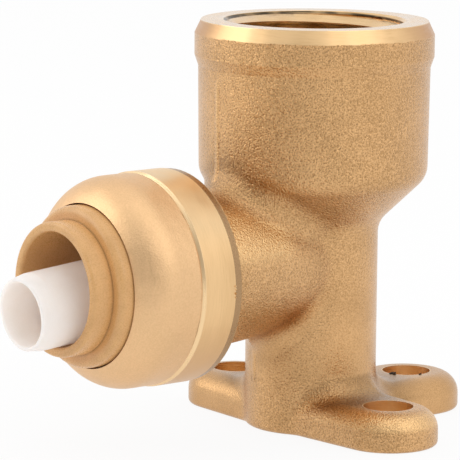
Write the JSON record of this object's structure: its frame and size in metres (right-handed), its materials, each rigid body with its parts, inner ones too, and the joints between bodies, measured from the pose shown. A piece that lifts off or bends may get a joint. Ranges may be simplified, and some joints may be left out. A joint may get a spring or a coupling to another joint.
{
  "type": "wall plate elbow",
  "caption": "Brass wall plate elbow: a female pipe thread socket on an eared plate, with a push-fit side end whose sliding release collar surrounds a drooping tube liner.",
  "frame": {"origin": "on the plate's wall face, under the threaded socket's axis", "axes": "+Z out of the wall along the threaded socket, -X out along the push-fit end, +X to the single back ear"},
  "size_m": [0.0652, 0.0404, 0.049],
  "materials": {
    "cast_brass": "as cast, fine sandy grain, turned bright on the mouth and the bell",
    "turned_brass": "satin, turned",
    "tan_acetal": "moulded, satin",
    "spring_steel": "stamped",
    "clear_plastic": "moulded",
    "black_rubber": "matte",
    "white_plastic": "moulded, slightly translucent"
  },
  "bodies": {
    "fitting": {"elbow_body": "cast_brass", "retaining_cap": "turned_brass", "grab_ring": "spring_steel", "seal_protector": "clear_plastic", "o_ring": "black_rubber", "tube_liner": "white_plastic"},
    "collar": {"release_collar": "tan_acetal"}
  },
  "joints": [
    {"name": "collar_press", "type": "slide", "parent": "fitting", "child": "collar", "axis": [1, 0, 0], "range_m": [0, 0.002]}
  ]
}
